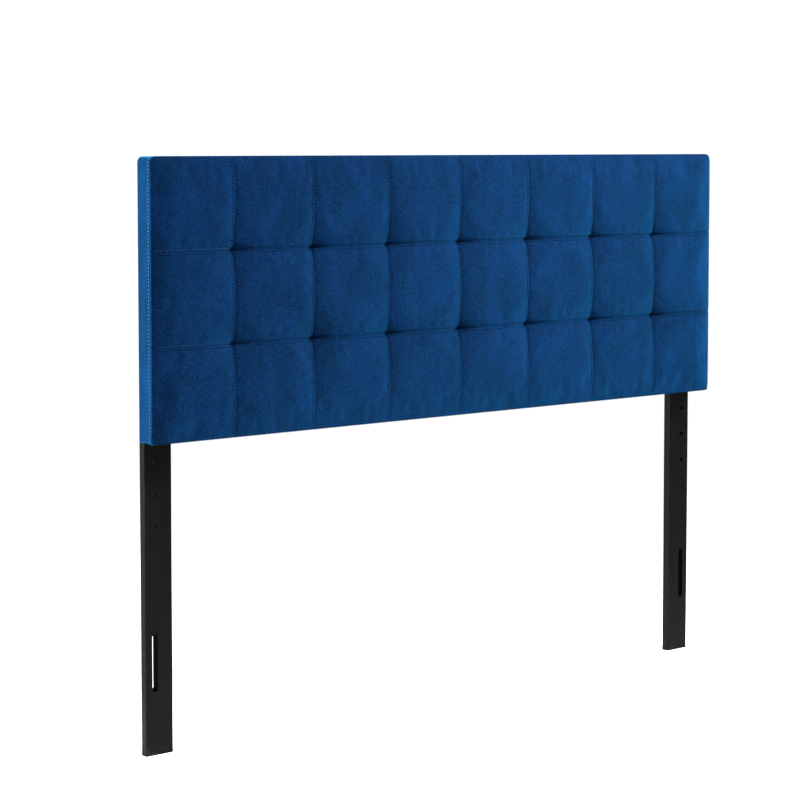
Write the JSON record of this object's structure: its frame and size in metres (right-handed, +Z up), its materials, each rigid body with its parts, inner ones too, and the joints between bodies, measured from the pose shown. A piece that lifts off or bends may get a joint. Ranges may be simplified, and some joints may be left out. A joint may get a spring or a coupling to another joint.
{
  "type": "upholstered headboard",
  "caption": "Wide rectangular tufted velvet headboard panel bolted to two flat black wooden legs with height-setting holes and slots for a bed frame.",
  "frame": {"origin": "on the floor, at the middle of the overall box", "axes": "+Z up, the tufted face towards -Y, +X along the width to the right end as seen from the front"},
  "size_m": [1.5622, 0.0912, 1.2128],
  "materials": {
    "velvet": "deep blue short-pile velvet",
    "black_wood": "satin black paint on wood",
    "frame_wood": "planed softwood",
    "dowel_wood": "fluted hardwood dowel",
    "hardboard": "smooth hardboard",
    "foam": "open-cell foam",
    "wadding": "bonded polyester wadding",
    "dust_cloth": "spun-bonded cloth",
    "twine": "waxed twine",
    "tuft_plastic": "moulded washer",
    "black_steel": "black-oxide steel",
    "zinc_steel": "bright zinc plate",
    "staple_wire": "galvanised wire"
  },
  "bodies": {
    "root": {"backing_board": "hardboard", "band_bottom": "velvet", "band_left": "velvet", "band_right": "velvet", "band_staples": "staple_wire", "band_top": "velvet", "board_staples": "staple_wire", "bottom_rail": "frame_wood", "corner_block_bottom_left": "frame_wood", "corner_block_bottom_right": "frame_wood", "corner_block_top_left": "frame_wood", "corner_block_top_right": "frame_wood", "corner_screws": "zinc_steel", "cover_square_row1_col1": "velvet", "cover_square_row1_col2": "velvet", "cover_square_row1_col3": "velvet", "cover_square_row1_col4": "velvet", "cover_square_row1_col5": "velvet", "cover_square_row1_col6": "velvet", "cover_square_row1_col7": "velvet", "cover_square_row1_col8": "velvet", "cover_square_row2_col1": "velvet", "cover_square_row2_col2": "velvet", "cover_square_row2_col3": "velvet", "cover_square_row2_col4": "velvet", "cover_square_row2_col5": "velvet", "cover_square_row2_col6": "velvet", "cover_square_row2_col7": "velvet", "cover_square_row2_col8": "velvet", "cover_square_row3_col1": "velvet", "cover_square_row3_col2": "velvet", "cover_square_row3_col3": "velvet", "cover_square_row3_col4": "velvet", "cover_square_row3_col5": "velvet", "cover_square_row3_col6": "velvet", "cover_square_row3_col7": "velvet", "cover_square_row3_col8": "velvet", "dust_cover": "dust_cloth", "dust_cover_staples": "staple_wire", "flat_washers": "zinc_steel", "foam_pad": "foam", "frame_dowels": "dowel_wood", "left_inner_stile": "frame_wood", "left_leg": "black_wood", "left_stile": "frame_wood", "leg_bolts": "black_steel", "right_inner_stile": "frame_wood", "right_leg": "black_wood", "right_stile": "frame_wood", "spring_washers": "zinc_steel", "tee_nuts": "zinc_steel", "top_rail": "frame_wood", "tuft_twines": "twine", "tuft_washers": "tuft_plastic", "wadding": "wadding"}
  },
  "joints": []
}
